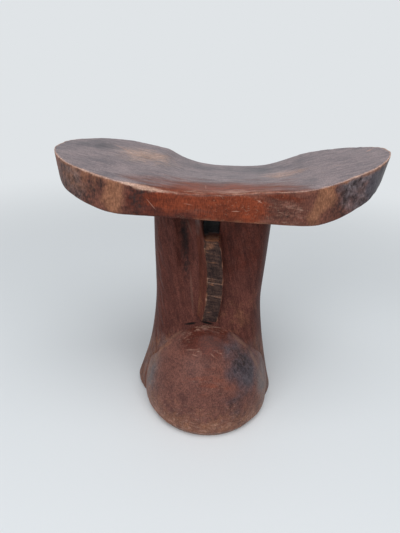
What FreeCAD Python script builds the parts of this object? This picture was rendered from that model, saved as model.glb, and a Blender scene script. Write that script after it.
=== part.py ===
import FreeCAD, Part
import math
import os

# Crescent-topped wooden rest, carved from one block of wood. Millimetres, +Z up, +X along the
# seat, -Y to the front. The origin is on the table, under the middle of the seat.

# Seat: a saddle whose two wings rise from a level middle
seat_length = 204.0
seat_depth = 88.0
seat_thickness = 16.0
straight_front = 112.0
end_width = 60.0
corner_rounding = 24.0
end_rounding = 30.0
left_wing_rise = 17.0
right_wing_rise = 21.5
front_saddle_power = 2.2
back_saddle_power = 2.0
back_wear = 2.0
left_tip_thickness = 17.0
right_tip_thickness = 13.0
underside_power = 1.7

# Carved shoulders that stand up along the back edge of the wings
left_shoulder_rise = 7.5
left_shoulder_place = 42.0
left_shoulder_inner_run = 26.0
left_shoulder_outer_run = 75.0
right_shoulder_rise = 2.5
right_shoulder_place = 74.0
right_shoulder_inner_run = 40.0
right_shoulder_outer_run = 40.0

# Post: an upright slab with round side edges, which flares into an ear at each side of its base
post_height = 161.5
post_offset = -1.4
post_top_width = 81.5
post_waist_width = 78.0
post_thickness = 40.0
ear_span = 110.0
flare_height = 95.0
flare_power = 1.6
side_rounding = 13.0
ear_taper = 27.0
base_edge_height = 5.0
base_edge_inset = 4.0

# Thong hole, burnt through the post from front to back, just under the seat
hole_width = 11.0
hole_height = 17.5

# Feet: a tall dome in front of the post and one behind it
foot_radius = 49.0
foot_height = 76.0
foot_forward = 11.0
foot_offset = 1.0

# Ribs: one up the middle of each face of the post, from a foot to the thong hole
rib_front_width = 10.5
rib_top_depth = 12.0
rib_foot_depth = 6.5
rib_flank_top = 10.5
rib_flank_foot = 7.0
rib_right_draft = 0.6
rib_top_offset = -0.4
rib_bow = 3.5
rib_foot_offset = 1.6
rib_root = 3.0

# Fineness of the curves that are drawn by a formula
steps_per_wing = 8
steps_per_quarter = 6
flare_steps = 6


def point(x, y, z):
    return FreeCAD.Vector(x, y, z)


def smooth_edge(points):
    """A smooth edge through the points."""
    curve = Part.BSplineCurve()
    curve.interpolate(points)
    return curve.toShape()


def closed_loop(points):
    """A closed wire of straight edges."""
    return Part.makePolygon(points + [points[0]])


def rounded_outline(corners, radii):
    """A closed wire in the XY plane through the corners, each rounded by its own radius."""
    edges = []
    starts = []
    ends = []
    arcs = []
    for index, corner in enumerate(corners):
        to_last = (corners[index - 1] - corner).normalize()
        to_next = (corners[(index + 1) % len(corners)] - corner).normalize()
        half_angle = to_last.getAngle(to_next) / 2.0
        radius = radii[index]
        reach = radius / math.tan(half_angle)
        middle_line = (to_last + to_next).normalize()
        centre = corner + middle_line * (radius / math.sin(half_angle))
        starts.append(corner + to_last * reach)
        ends.append(corner + to_next * reach)
        arcs.append(centre - middle_line * radius)
    for index in range(len(corners)):
        edges.append(Part.Arc(starts[index], arcs[index], ends[index]).toShape())
        following = (index + 1) % len(corners)
        edges.append(Part.LineSegment(ends[index], starts[following]).toShape())
    return Part.Wire(edges)


# Seat

half_length = seat_length / 2.0
half_depth = seat_depth / 2.0
half_straight = straight_front / 2.0
half_end = end_width / 2.0
seat_top = post_height + seat_thickness


def wing_rise(x):
    return right_wing_rise if x > 0.0 else left_wing_rise


def tip_thickness(x):
    return right_tip_thickness if x > 0.0 else left_tip_thickness


def front_height(x):
    """Height of the seat's top along its front edge."""
    return seat_top + wing_rise(x) * (abs(x) / half_length) ** front_saddle_power


def shoulder(away, rise, inner_run, outer_run):
    """Height of a shoulder at a distance from its crest, which is negative towards the middle."""
    run = inner_run if away < 0.0 else outer_run
    if abs(away) >= run:
        return 0.0
    return rise * math.cos(away / run * math.pi / 2.0) ** 2


def left_shoulder(x):
    away = -x - left_shoulder_place
    return shoulder(away, left_shoulder_rise, left_shoulder_inner_run, left_shoulder_outer_run)


def right_shoulder(x):
    away = x - right_shoulder_place
    return shoulder(away, right_shoulder_rise, right_shoulder_inner_run, right_shoulder_outer_run)


def back_height(x):
    """Height of the seat's top along its back edge, which is worn lower in the middle."""
    rise = (wing_rise(x) + back_wear) * (abs(x) / half_length) ** back_saddle_power
    return seat_top - back_wear + rise + left_shoulder(x) + right_shoulder(x)


def underside_height(x):
    """Height of the seat's underside: flat over the post, then turned up to the tips."""
    past = max(0.0, abs(x) - half_straight) / (half_length - half_straight)
    lift = seat_thickness + wing_rise(x) - tip_thickness(x)
    return post_height + lift * past ** underside_power


def seat_section(y, top_height):
    """One upright section of the seat, across its whole length."""
    wing = half_length - half_straight
    shares = [step / steps_per_wing for step in range(steps_per_wing + 1)]
    left = [-half_length + wing * share for share in shares]
    right = [half_straight + wing * share for share in shares]
    top_steps = 4 * steps_per_wing
    across = [half_length - seat_length * step / top_steps for step in range(top_steps + 1)]
    under_left = [point(x, y, underside_height(x)) for x in left]
    under_right = [point(x, y, underside_height(x)) for x in right]
    top = [point(x, y, top_height(x)) for x in across]
    edges = [
        smooth_edge(under_left),
        Part.LineSegment(under_left[-1], under_right[0]).toShape(),
        smooth_edge(under_right),
        Part.LineSegment(under_right[-1], top[0]).toShape(),
        smooth_edge(top),
        Part.LineSegment(top[-1], under_left[0]).toShape(),
    ]
    return Part.Wire(edges)


def make_seat():
    front = seat_section(-half_depth, front_height)
    back = seat_section(half_depth, back_height)
    saddle = Part.makeLoft([front, back], True, True)
    corners = [
        point(-half_straight, -half_depth, 0),
        point(half_straight, -half_depth, 0),
        point(half_length, -half_end, 0),
        point(half_length, half_end, 0),
        point(half_straight, half_depth, 0),
        point(-half_straight, half_depth, 0),
        point(-half_length, half_end, 0),
        point(-half_length, -half_end, 0),
    ]
    side = [corner_rounding, corner_rounding, end_rounding, end_rounding]
    outline = rounded_outline(corners, side + side)
    plan = Part.Face(outline).extrude(point(0, 0, 2.0 * post_height + seat_length))
    return saddle.common(plan)


# Post

half_top = post_top_width / 2.0
half_waist = post_waist_width / 2.0
half_thickness = post_thickness / 2.0
half_span = ear_span / 2.0


def post_section(z, half_width, side):
    """One level section of the post: flat in front and behind, round at the sides."""
    flat = half_width - side
    half_turn = range(-steps_per_quarter, steps_per_quarter + 1)
    turns = [math.pi / 2.0 * step / steps_per_quarter for step in half_turn]
    right = [point(post_offset + flat + side * math.cos(t), half_thickness * math.sin(t), z) for t in turns]
    left = [point(2.0 * post_offset - place.x, -place.y, z) for place in right]
    edges = [
        smooth_edge(right),
        Part.LineSegment(right[-1], left[0]).toShape(),
        smooth_edge(left),
        Part.LineSegment(left[-1], right[0]).toShape(),
    ]
    return Part.Wire(edges)


def flare_section(share):
    """A level section of the flare, at a share of its height from 0 at the ears to 1 at its top."""
    opening = (1.0 - share) ** flare_power
    half_width = half_waist + (half_span - half_waist) * opening
    side = side_rounding + (ear_taper - side_rounding) * opening
    return post_section(base_edge_height + (flare_height - base_edge_height) * share, half_width, side)


def make_post():
    flare_sections = [flare_section(step / flare_steps) for step in range(flare_steps + 1)]
    table_edge = post_section(0.0, half_span - base_edge_inset, ear_taper)
    skirt = Part.makeLoft([table_edge, flare_sections[0]], True, True)
    ears = Part.makeLoft(flare_sections, True, False)
    top = post_section(post_height, half_top, side_rounding)
    shaft = Part.makeLoft([flare_sections[-1], top], True, True)
    corner = point(post_offset - hole_width / 2.0, -post_thickness, post_height - hole_height)
    hole = Part.makeBox(hole_width, 2.0 * post_thickness, 2.0 * hole_height, corner)
    return skirt.fuse([ears, shaft]).cut(hole)


# Feet

def make_foot(post):
    """The front foot: the half of a tall dome that stands clear of the post."""
    crown = foot_height - base_edge_height
    turns = [math.pi / 2.0 * step / steps_per_quarter for step in range(steps_per_quarter + 1)]
    dome = [point(foot_radius * math.cos(t), 0, base_edge_height + crown * math.sin(t)) for t in turns]
    curve = Part.BSplineCurve()
    curve.interpolate(Points=dome, InitialTangent=point(0, 0, 1), FinalTangent=point(-1, 0, 0))
    middle = point(0, 0, 0)
    edge = point(foot_radius - base_edge_inset, 0, 0)
    edges = [
        Part.LineSegment(middle, edge).toShape(),
        Part.LineSegment(edge, dome[0]).toShape(),
        curve.toShape(),
        Part.LineSegment(dome[-1], middle).toShape(),
    ]
    whole = Part.Face(Part.Wire(edges)).revolve(middle, point(0, 0, 1), 360)
    whole.translate(point(foot_offset, -foot_forward, 0))
    reach = foot_radius + foot_forward
    behind = Part.makeBox(4.0 * reach, 2.0 * reach, 2.0 * foot_height, point(-2.0 * reach, 0, -foot_height))
    return whole.cut(behind).cut(post)


def foot_surface(x, y):
    """Height of the front foot's dome over a place on the table."""
    away = math.hypot(x - foot_offset, y + foot_forward) / foot_radius
    return base_edge_height + (foot_height - base_edge_height) * math.sqrt(max(0.0, 1.0 - away * away))


# Ribs

def rib_section(z, middle, depth, flank):
    """One level section of the front rib: square on its right, sloped on its left."""
    face = -half_thickness
    left = middle - rib_front_width / 2.0
    right = middle + rib_front_width / 2.0
    return closed_loop([
        point(left - flank, face, z),
        point(left, face - depth, z),
        point(right, face - depth, z),
        point(right + rib_right_draft, face, z),
    ])


def make_rib(foot):
    """The front rib, from the foot's dome up to the floor of the thong hole."""
    top = post_height - hole_height
    furthest = rib_foot_offset - rib_front_width / 2.0 - rib_flank_foot
    bottom = foot_surface(furthest, -half_thickness - rib_foot_depth) - rib_root
    half_way = (top + bottom) / 2.0
    middle_depth = (rib_top_depth + rib_foot_depth) / 2.0
    middle_flank = (rib_flank_top + rib_flank_foot) / 2.0
    sections = [
        rib_section(bottom, rib_foot_offset, rib_foot_depth, rib_flank_foot),
        rib_section(half_way, rib_bow, middle_depth, middle_flank),
        rib_section(top, rib_top_offset, rib_top_depth, rib_flank_top),
    ]
    return Part.makeLoft(sections, True, False).cut(foot)


# The carving, member by member

def other_face(shape):
    """The same member on the back of the post."""
    return shape.mirror(point(0, 0, 0), point(0, 1, 0))


post = make_post()
front_foot = make_foot(post)
front_rib = make_rib(front_foot)
members = {
    "seat": make_seat(),
    "post": post,
    "front_foot": front_foot,
    "rear_foot": other_face(front_foot),
    "front_rib": front_rib,
    "rear_rib": other_face(front_rib),
}
os.makedirs("parts", exist_ok=True)
for name, member in members.items():
    member.exportStep("parts/" + name + ".step")
    print(name, "solids", len(member.Solids), "volume", round(member.Volume), "valid", member.isValid())
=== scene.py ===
import logging
import math
from collections.abc import Iterable
from dataclasses import dataclass
from enum import Enum

import bmesh
import bpy
from bmesh.types import BMEdge, BMesh, BMVert
from mathutils import Color as ScreenColour
from mathutils import Euler, Matrix, Vector, noise
from mathutils.kdtree import KDTree


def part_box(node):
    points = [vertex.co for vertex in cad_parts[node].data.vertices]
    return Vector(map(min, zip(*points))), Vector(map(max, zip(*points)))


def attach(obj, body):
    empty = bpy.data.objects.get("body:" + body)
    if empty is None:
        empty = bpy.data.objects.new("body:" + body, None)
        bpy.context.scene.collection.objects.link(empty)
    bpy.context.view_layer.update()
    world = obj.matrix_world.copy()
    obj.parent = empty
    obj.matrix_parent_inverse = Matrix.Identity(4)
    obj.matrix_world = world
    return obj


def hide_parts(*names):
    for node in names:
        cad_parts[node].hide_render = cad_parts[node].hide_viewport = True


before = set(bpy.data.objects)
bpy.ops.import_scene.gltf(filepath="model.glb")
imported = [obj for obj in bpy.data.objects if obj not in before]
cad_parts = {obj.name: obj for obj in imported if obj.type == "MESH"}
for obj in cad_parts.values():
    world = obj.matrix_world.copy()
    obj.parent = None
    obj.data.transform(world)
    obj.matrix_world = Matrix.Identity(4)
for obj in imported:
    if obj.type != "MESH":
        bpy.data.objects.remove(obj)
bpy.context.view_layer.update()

# Crescent-topped wooden rest, carved from one block: a saddle seat on a slab post, a rib up each
# face of the post and a domed foot before and behind it. Metres, +Z up, -Y to the front.

LOG = logging.getLogger("carved_rest")
MM = 0.001
DECIMALS = 6
TOUCHING = 10.0 ** -DECIMALS
ALMOST = 0.999
HALF_WAY = 0.5
FULL_CHANNEL = 255.0
WHOLE = (0.0, 1.0)
Colour = tuple[float, float, float, float]
Size = tuple[float, float, float]
Span = tuple[float, float]
Socket = bpy.types.NodeSocket


def tint(red: int, green: int, blue: int) -> Colour:
    """A colour as it shows on a screen, turned into the linear values that a shader takes.

    Args:
        red: Red, from 0 to 255.
        green: Green, from 0 to 255.
        blue: Blue, from 0 to 255.

    Returns:
        Linear red, green and blue, and an alpha of 1.
    """
    shares = [channel / FULL_CHANNEL for channel in (red, green, blue)]
    return (*ScreenColour(shares).from_srgb_to_scene_linear(), 1.0)


def ease(low: float, high: float, value: float) -> float:
    """A smooth step.

    Args:
        low: The value at which the step starts.
        high: The value at which it is complete.
        value: Where to read it.

    Returns:
        0 before the step, 1 after it and a smooth share between.
    """
    share = min(1.0, max(0.0, (value - low) / (high - low)))
    return share * share * (3.0 - 2.0 * share)


def hump(away: float, reach: float) -> float:
    """A round hump, 1 at no distance and 0 from its reach on."""
    return math.cos(min(1.0, abs(away) / reach) * math.pi / 2.0) ** 2


def bell(away: float, width: float) -> float:
    """A bell curve, 1 at no distance and falling off over its width."""
    return math.exp(-((away / width) ** 2))


def fillet(away: float, reach: float, most: float) -> float:
    """A hollow fillet's profile: 1 where two surfaces meet, and falling off over its reach.

    Args:
        away: Distance from the second surface, below 0 inside it.
        reach: Distance over which it falls to a third.
        most: How many reaches it goes on to rise inside the second surface.

    Returns:
        The share.
    """
    return math.exp(min(most, -away / reach))


@dataclass(frozen=True)
class Ramp:
    """A smooth step between two values."""

    low: float
    high: float

    def at(self, value: float) -> float:
        """Share of the step at a value, 0 before it and 1 after it."""
        return ease(self.low, self.high, value)


@dataclass(frozen=True)
class Swell:
    """A round swell about a middle."""

    middle: float
    reach: float

    def at(self, value: float) -> float:
        """Share of the swell at a value, 1 in its middle and 0 from its reach on."""
        return hump(value - self.middle, self.reach)


@dataclass(frozen=True)
class Wave:
    """Unevenness that tools and use have left: the length of its waves and its height, in mm."""

    size: Size
    height: float
    seed: float

    def swing(self, place: Vector) -> float:
        """Smooth unevenness at a place, the same on every run.

        Args:
            place: Where to read it, in metres.

        Returns:
            A value from about -1 to 1.
        """
        x, y, z = (place[axis] / (self.size[axis] * MM) for axis in range(3))
        return noise.noise(Vector((x + self.seed, y - self.seed, z + 2.0 * self.seed)))

    def at(self, place: Vector) -> float:
        """How far the surface stands out at a place, in metres."""
        return self.height * MM * self.swing(place)


class Stain(Enum):
    """What use and fire have left on the wood, and painted light and shade. Each is a layer of shares on a
    piece's vertices.
    """

    OILED = "oiled"
    RUBBED = "rubbed"
    # Grey bloom, and on the seat's top a painted reflection of the pale surroundings.
    BLOOM = "bloom_and_painted_reflection"
    DUST = "dust"
    SCORED = "scored"
    # Smoke, and painted shade on the walls of the hole.
    SMOKE_AND_PAINTED_SHADE = "smoke_and_painted_shade"
    # Scorching, and painted shade in the valley beside the rib and in the rib's cross cuts.
    BURNT_AND_PAINTED_SHADE = "burnt_and_painted_shade"
    # Bare wood, and painted light on the rib's ridges and lip, the lower post and the lower dome.
    BARE_AND_PAINTED_LIGHT = "bare_and_painted_light"
    # Worn wood, and painted light: a highlight on the seat's upper arris and light off the floor on the
    # lower dome.
    WORN_AND_PAINTED_LIGHT = "worn"
    # Painted shade in the hole and under the rib's end, and painted shade with soot in the valley.
    SOOT_AND_PAINTED_SHADE = "soot_and_painted_shade"


LEVEL_SURFACE = Ramp(0.3, 0.7)


class Facing(Enum):
    """Which way a surface has to face for a spot to show on it."""

    ANY = "any"
    UP = "up"
    SIDE = "side"

    def share(self, normal: Vector) -> float:
        """Share by which a surface with this normal faces the right way."""
        up = LEVEL_SURFACE.at(normal.z)
        return {Facing.ANY: 1.0, Facing.UP: up, Facing.SIDE: 1.0 - up}[self]


WANDER = tuple(Wave((13.0, 13.0, 13.0), 5.0, seed) for seed in (11.3, 23.9, 37.1))
WIDE_SPOT = 14.0


def drift(place: Vector) -> Vector:
    """How far a wide stain's outline wanders at a place, in metres."""
    return Vector([wave.at(place) for wave in WANDER])


@dataclass(frozen=True)
class Spot:
    """A soft-edged patch of a stain: an ellipsoid in the object's frame, in millimetres."""

    stain: Stain
    centre: Size
    reach: Size
    strength: float = 1.0
    core: float = 0.2
    facing: Facing = Facing.ANY

    def share(self, place: Vector, wander: Vector, normal: Vector) -> float:
        """Share of the stain at a place.

        Args:
            place: Where to read it, in metres.
            wander: How far a wide stain's outline wanders there. A small one keeps its outline.
            normal: The surface's normal there.

        Returns:
            The full strength within the core, fading to 0 at the reach.
        """
        drifted = (place + wander * min(1.0, min(self.reach) / WIDE_SPOT)) / MM
        away = [(drifted[axis] - self.centre[axis]) / self.reach[axis] for axis in range(3)]
        fading = 1.0 - ease(self.core, 1.0, Vector(away).length)
        return self.strength * fading * self.facing.share(normal) if fading > 0.0 else 0.0


PALE_SCRATCH = tint(184, 142, 124)
# Painted shadow in the slits where the rib and its flank stand over the dome.
SLIT_SHADOW = tint(14, 9, 8)


@dataclass(frozen=True)
class Mark:
    """A thin tapering line on the surface, such as a scratch, a painted shadow in a slit or a painted
    highlight on a ridge, in millimetres.
    """

    start: Size
    end: Size
    width: float
    facing: Size
    colour: Colour = PALE_SCRATCH
    strength: float = 0.7
    reach: float = 4.0

    def turn(self) -> Euler:
        """Turn of the line, whose own X runs along it and whose own Z faces outwards.

        Returns:
            The turn about X, Y and Z.
        """
        along = (Vector(self.end) - Vector(self.start)).normalized()
        across = Vector(self.facing).cross(along).normalized()
        return Matrix((along, across, along.cross(across))).transposed().to_euler()

    def sizes(self) -> Vector:
        """Half its length, half its width and how deep it reaches, in metres."""
        length = (Vector(self.end) - Vector(self.start)).length
        return Vector((length / 2.0, self.width / 2.0, self.reach)) * MM

    def middle(self) -> Vector:
        """Its middle, in metres."""
        return (Vector(self.start) + Vector(self.end)) / 2.0 * MM


class Fibre(Enum):
    """The wood's streaks: their length along X, Y and Z in millimetres, and their turn about Y."""

    ALONG_SEAT = ((15.0, 2.2, 5.0), 0.0)
    UPRIGHT = ((2.6, 2.6, 24.0), -14.0)
    ROUND_DOME = ((5.0, 5.0, 6.0), 0.0)


@dataclass(frozen=True)
class StainLook:
    """How a stain shows: its colours, how ragged its edge is, and the sheen it leaves."""

    light: Colour
    dark: Colour
    flecks: Size
    raggedness: float
    roughness: float
    full: float = 1.0


class Detail(Enum):
    """How many finer waves a noise has on top of its own."""

    LITTLE = 2.0
    SOME = 3.0
    MUCH = 5.0
    MOST = 7.0


FINE_WAVES = 0.62
LINE_FADE = (0.0, 0.6)
COLOUR_MIX_INPUTS = (0, 6, 7)
COLOUR_MIX_OUTPUT = 2


class Shading:
    """A material's nodes, with short calls for those that the wood needs."""

    def __init__(self, name: str) -> None:
        """Starts a material.

        Args:
            name: The material's name.
        """
        self.material = bpy.data.materials.new(name)
        self.material.use_nodes = True
        self.tree = self.material.node_tree
        self.shader = self.tree.nodes["Principled BSDF"]
        self.coords = self.tree.nodes.new("ShaderNodeTexCoord").outputs["Object"]

    def put(self, socket: Socket, value: object) -> None:
        """Gives an input its value.

        Args:
            socket: The input.
            value: An output to link, or a constant.
        """
        if isinstance(value, Socket):
            self.tree.links.new(value, socket)
        else:
            socket.default_value = value

    def placed(self, place: Vector, turn: Euler, size: Vector) -> Socket:
        """The object's own coordinates, as a pattern sees them.

        Args:
            place: The pattern's middle, in metres.
            turn: Its turn about X, Y and Z.
            size: Its size along X, Y and Z, in metres.

        Returns:
            The coordinates.
        """
        node = self.tree.nodes.new("ShaderNodeMapping")
        node.vector_type = "TEXTURE"
        self.put(node.inputs["Vector"], self.coords)
        self.put(node.inputs["Location"], place)
        self.put(node.inputs["Rotation"], turn)
        self.put(node.inputs["Scale"], size)
        return node.outputs["Vector"]

    def noise(self, size: Size, detail: Detail, turn: Size = (0.0, 0.0, 0.0)) -> Socket:
        """A noise on the object's own coordinates.

        Args:
            size: Length of its waves along X, Y and Z, in millimetres.
            detail: How many finer waves are added.
            turn: Turn of the pattern about X, Y and Z, in degrees.

        Returns:
            The noise, from 0 to 1.
        """
        angles = Euler([math.radians(angle) for angle in turn])
        waves = self.tree.nodes.new("ShaderNodeTexNoise")
        self.put(waves.inputs["Vector"], self.placed(Vector(), angles, Vector(size) * MM))
        self.put(waves.inputs["Scale"], 1.0)
        self.put(waves.inputs["Detail"], detail.value)
        self.put(waves.inputs["Roughness"], FINE_WAVES)
        return waves.outputs["Fac"]

    def line(self, mark: Mark) -> Socket:
        """A thin tapering line.

        Args:
            mark: The line.

        Returns:
            Its share, 0 away from it.
        """
        ball = self.tree.nodes.new("ShaderNodeTexGradient")
        ball.gradient_type = "SPHERICAL"
        self.put(ball.inputs["Vector"], self.placed(mark.middle(), mark.turn(), mark.sizes()))
        return self.spread(ball.outputs["Fac"], LINE_FADE, (0.0, mark.strength))

    def layer(self, name: str) -> Socket:
        """A layer of shares on the piece's vertices."""
        node = self.tree.nodes.new("ShaderNodeAttribute")
        node.attribute_name = name
        return node.outputs["Fac"]

    def math(self, operation: str, first: object, second: object) -> Socket:
        """One sum of two values.

        Args:
            operation: The sum's name.
            first: Its first value, an output or a constant.
            second: Its second value.

        Returns:
            The result.
        """
        node = self.tree.nodes.new("ShaderNodeMath")
        node.operation = operation
        self.put(node.inputs[0], first)
        self.put(node.inputs[1], second)
        return node.outputs[0]

    def blend(self, first: Socket, second: Socket, share: float) -> Socket:
        """Adds two values in a fixed proportion, with a share of the second."""
        most = self.math("MULTIPLY", first, 1.0 - share)
        return self.math("ADD", most, self.math("MULTIPLY", second, share))

    def spread(self, value: Socket, span: Span, to: Span) -> Socket:
        """Spreads a span of a value smoothly over another span.

        Args:
            value: The value.
            span: Its lowest and highest value.
            to: What these become.

        Returns:
            The spread value.
        """
        node = self.tree.nodes.new("ShaderNodeMapRange")
        node.interpolation_type = "SMOOTHSTEP"
        self.put(node.inputs["Value"], value)
        for name, limit in zip(("From Min", "From Max", "To Min", "To Max"), span + to):
            self.put(node.inputs[name], limit)
        return node.outputs["Result"]

    def mix(self, share: object, first: object, second: object, way: str = "MIX") -> Socket:
        """Mixes two colours.

        Args:
            share: Share of the second, an output or a constant.
            first: The first colour.
            second: The second colour.
            way: How they blend.

        Returns:
            The mixed colour.
        """
        node = self.tree.nodes.new("ShaderNodeMix")
        node.data_type = "RGBA"
        node.blend_type = way
        for index, value in zip(COLOUR_MIX_INPUTS, (share, first, second)):
            self.put(node.inputs[index], value)
        return node.outputs[COLOUR_MIX_OUTPUT]


STAIN_LOOKS = {
    Stain.OILED: StainLook(tint(86, 37, 26), tint(58, 24, 17), (6.0, 6.0, 6.0), 1.0, 0.38, 0.9),
    Stain.RUBBED: StainLook(tint(126, 56, 31), tint(90, 37, 20), (20.0, 4.0, 4.0), 1.1, 0.42, 0.95),
    # Grey bloom; on the seat's top it is also a painted reflection.
    Stain.BLOOM: StainLook(tint(143, 129, 130), tint(98, 92, 97), (20.0, 6.0, 9.0), 1.1, 0.46, 0.94),
    Stain.DUST: StainLook(tint(132, 123, 121), tint(97, 91, 90), (14.0, 14.0, 18.0), 0.7, 0.5, 0.82),
    Stain.SCORED: StainLook(tint(71, 54, 48), tint(37, 29, 28), (2.4, 2.4, 0.9), 0.6, 0.7, 0.95),
    # Smoke; in the hole it is painted shade.
    Stain.SMOKE_AND_PAINTED_SHADE: StainLook(tint(82, 77, 83), tint(43, 41, 48), (9.0, 9.0, 9.0), 0.8, 0.42, 0.9),
    # Scorching; in the valley and the rib's cuts it is painted shade.
    Stain.BURNT_AND_PAINTED_SHADE: StainLook(tint(58, 41, 38), tint(29, 22, 23), (2.2, 2.2, 3.0), 1.8, 0.5, 0.95),
    # Bare wood; on the rib's ridges and lip, the lower post and the lower dome it is painted light.
    Stain.BARE_AND_PAINTED_LIGHT: StainLook(tint(152, 104, 78), tint(112, 73, 53), (5.0, 3.0, 6.0), 1.0, 0.5, 0.9),
    # Worn wood; on the seat's arris and the lower dome it is also painted light.
    Stain.WORN_AND_PAINTED_LIGHT: StainLook(tint(202, 168, 151), tint(158, 121, 102), (7.0, 1.2, 2.0), 1.3, 0.5, 0.85),
    # Painted shade, with soot in the valley.
    Stain.SOOT_AND_PAINTED_SHADE: StainLook(tint(32, 27, 28), tint(22, 19, 20), (3.0, 3.0, 3.0), 0.4, 0.8),
}


@dataclass(frozen=True)
class WoodFinish:
    """A finish of the one block of wood, as the record's slot for a member names it."""

    slot: str
    light: Colour
    dark: Colour
    fibre: Fibre
    roughness: float
    grain_depth: float
    gloss: float = 0.08
    contrast: Span = (0.36, 0.64)
    hair_thinness: float = 3.5
    hair_share: float = 0.32
    mottling: Size = (15.0, 15.0, 15.0)
    mottling_share: float = 0.4
    stain_edge: Span = (0.22, 0.82)
    pores: Size = (0.8, 0.8, 1.1)
    pore_span: Span = (0.28, 0.72)
    pore_shade: Span = (0.68, 1.28)
    pore_bump: float = 0.35
    bump: float = 0.6
    scratch: Size = (18.0, 0.7, 0.9)
    scratch_span: Span = (0.63, 0.72)
    scratch_turns: Span = (14.0, -22.0)
    scratch_colour: Colour = tint(160, 132, 112)
    scratched: float = 0.35
    scratched_patch: Size = (26.0, 26.0, 26.0)
    patch_span: Span = (0.45, 0.65)
    marks: tuple[Mark, ...] = ()

    def material(self) -> bpy.types.Material:
        """Makes the finish's material.

        Returns:
            Wood with streaks, mottling, pores, scratches, marks and its vertices' stains.
        """
        shading = Shading(self.slot)
        inputs = shading.shader.inputs
        size, angle = self.fibre.value
        turn = (0.0, angle, 0.0)
        fibres = shading.noise(size, Detail.MOST, turn)
        hairs = shading.noise(tuple(Vector(size) / self.hair_thinness), Detail.SOME, turn)
        pores = shading.noise(self.pores, Detail.LITTLE)
        mottled = shading.blend(fibres, shading.noise(self.mottling, Detail.MUCH), self.mottling_share)
        tone = shading.spread(shading.blend(mottled, hairs, self.hair_share), self.contrast, WHOLE)
        colour, roughness = self.stained(shading, tone)
        shade = shading.spread(pores, self.pore_span, self.pore_shade)
        colour = shading.mix(1.0, colour, shade, "MULTIPLY")
        colour = shading.mix(self.scratches(shading), colour, self.scratch_colour)
        for mark in self.marks:
            colour = shading.mix(shading.line(mark), colour, mark.colour)
        shading.put(inputs["Base Color"], colour)
        shading.put(inputs["Roughness"], roughness)
        shading.put(inputs["Specular IOR Level"], self.gloss)
        bump = shading.tree.nodes.new("ShaderNodeBump")
        shading.put(bump.inputs["Strength"], self.bump)
        shading.put(bump.inputs["Distance"], self.grain_depth * MM)
        shading.put(bump.inputs["Height"], shading.blend(fibres, pores, self.pore_bump))
        shading.put(inputs["Normal"], bump.outputs["Normal"])
        return shading.material

    def stained(self, shading: Shading, tone: Socket) -> tuple[Socket, Socket]:
        """Lays the stains over the wood, each on top of those before it.

        Args:
            shading: The material's nodes.
            tone: The wood's streaks, from dark to light.

        Returns:
            The colour and the roughness.
        """
        colour = shading.mix(tone, self.dark, self.light)
        roughness: object = self.roughness
        for stain, look in STAIN_LOOKS.items():
            flecks = shading.math("SUBTRACT", shading.noise(look.flecks, Detail.MUCH), HALF_WAY)
            ragged = shading.math("MULTIPLY", flecks, look.raggedness)
            cover = shading.math("ADD", shading.layer(stain.value), ragged)
            mask = shading.spread(cover, self.stain_edge, (0.0, look.full))
            colour = shading.mix(mask, colour, shading.mix(tone, look.dark, look.light))
            sheen = shading.math("MULTIPLY", mask, look.roughness - self.roughness)
            roughness = shading.math("ADD", roughness, sheen)
        return colour, roughness

    def scratches(self, shading: Shading) -> Socket:
        """Thin pale scratches in two directions, here and there.

        Args:
            shading: The material's nodes.

        Returns:
            Share of the scratches' colour.
        """
        where = shading.noise(self.scratched_patch, Detail.LITTLE)
        patches = shading.spread(where, self.patch_span, (0.0, self.scratched))
        turns = [(0.0, angle, angle) for angle in self.scratch_turns]
        lines = [shading.noise(self.scratch, Detail.LITTLE, turn) for turn in turns]
        thin = [shading.spread(line, self.scratch_span, WHOLE) for line in lines]
        return shading.math("MULTIPLY", patches, shading.math("MAXIMUM", *thin))


def edges_along(mesh: BMesh, axis: int) -> list[BMEdge]:
    """The edges that run along an axis."""
    ends = [(edge, [vert.co[axis] for vert in edge.verts]) for edge in mesh.edges]
    return [edge for edge, (start, end) in ends if abs(start - end) > TOUCHING]


def sharp_edges(mesh: BMesh, least_angle: float = 0.6) -> list[BMEdge]:
    """The edges at which two faces meet at an angle.

    Args:
        mesh: The mesh.
        least_angle: The least angle between the faces, in radians.

    Returns:
        The edges.
    """
    mesh.normal_update()
    return [edge for edge in mesh.edges if edge.is_manifold and edge.calc_face_angle() > least_angle]


def cut(mesh: BMesh, place: Size, normal: Size, cut_off: bool = False) -> None:
    """Cuts a mesh along a plane.

    Args:
        mesh: The mesh.
        place: A place on the plane.
        normal: The plane's normal.
        cut_off: Whether the side that the normal points to is taken away.
    """
    bmesh.ops.bisect_plane(
        mesh, geom=mesh.verts[:] + mesh.edges[:] + mesh.faces[:], dist=TOUCHING,
        plane_co=place, plane_no=normal, clear_outer=cut_off,
    )


def soften(mesh: BMesh, verts: list[BMVert], passes: int = 1) -> None:
    """Rounds a shape off.

    Args:
        mesh: The mesh.
        verts: The vertices to move.
        passes: How many times each goes half of the way to the middle of its neighbours.
    """
    for _ in range(passes):
        bmesh.ops.smooth_vert(
            mesh, verts=verts, factor=HALF_WAY, use_axis_x=True, use_axis_y=True, use_axis_z=True,
        )


def face_outwards(mesh: BMesh) -> None:
    """Turns the faces of a closed shape outwards."""
    bmesh.ops.recalc_face_normals(mesh, faces=mesh.faces[:])
    if mesh.calc_volume(signed=True) < 0.0:
        bmesh.ops.reverse_faces(mesh, faces=mesh.faces[:])
    mesh.normal_update()


def nearest(places: Iterable[Vector]) -> KDTree:
    """A tree that finds the nearest of some places."""
    found = list(places)
    tree = KDTree(len(found))
    for index, place in enumerate(found):
        tree.insert(place, index)
    tree.balance()
    return tree


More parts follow.
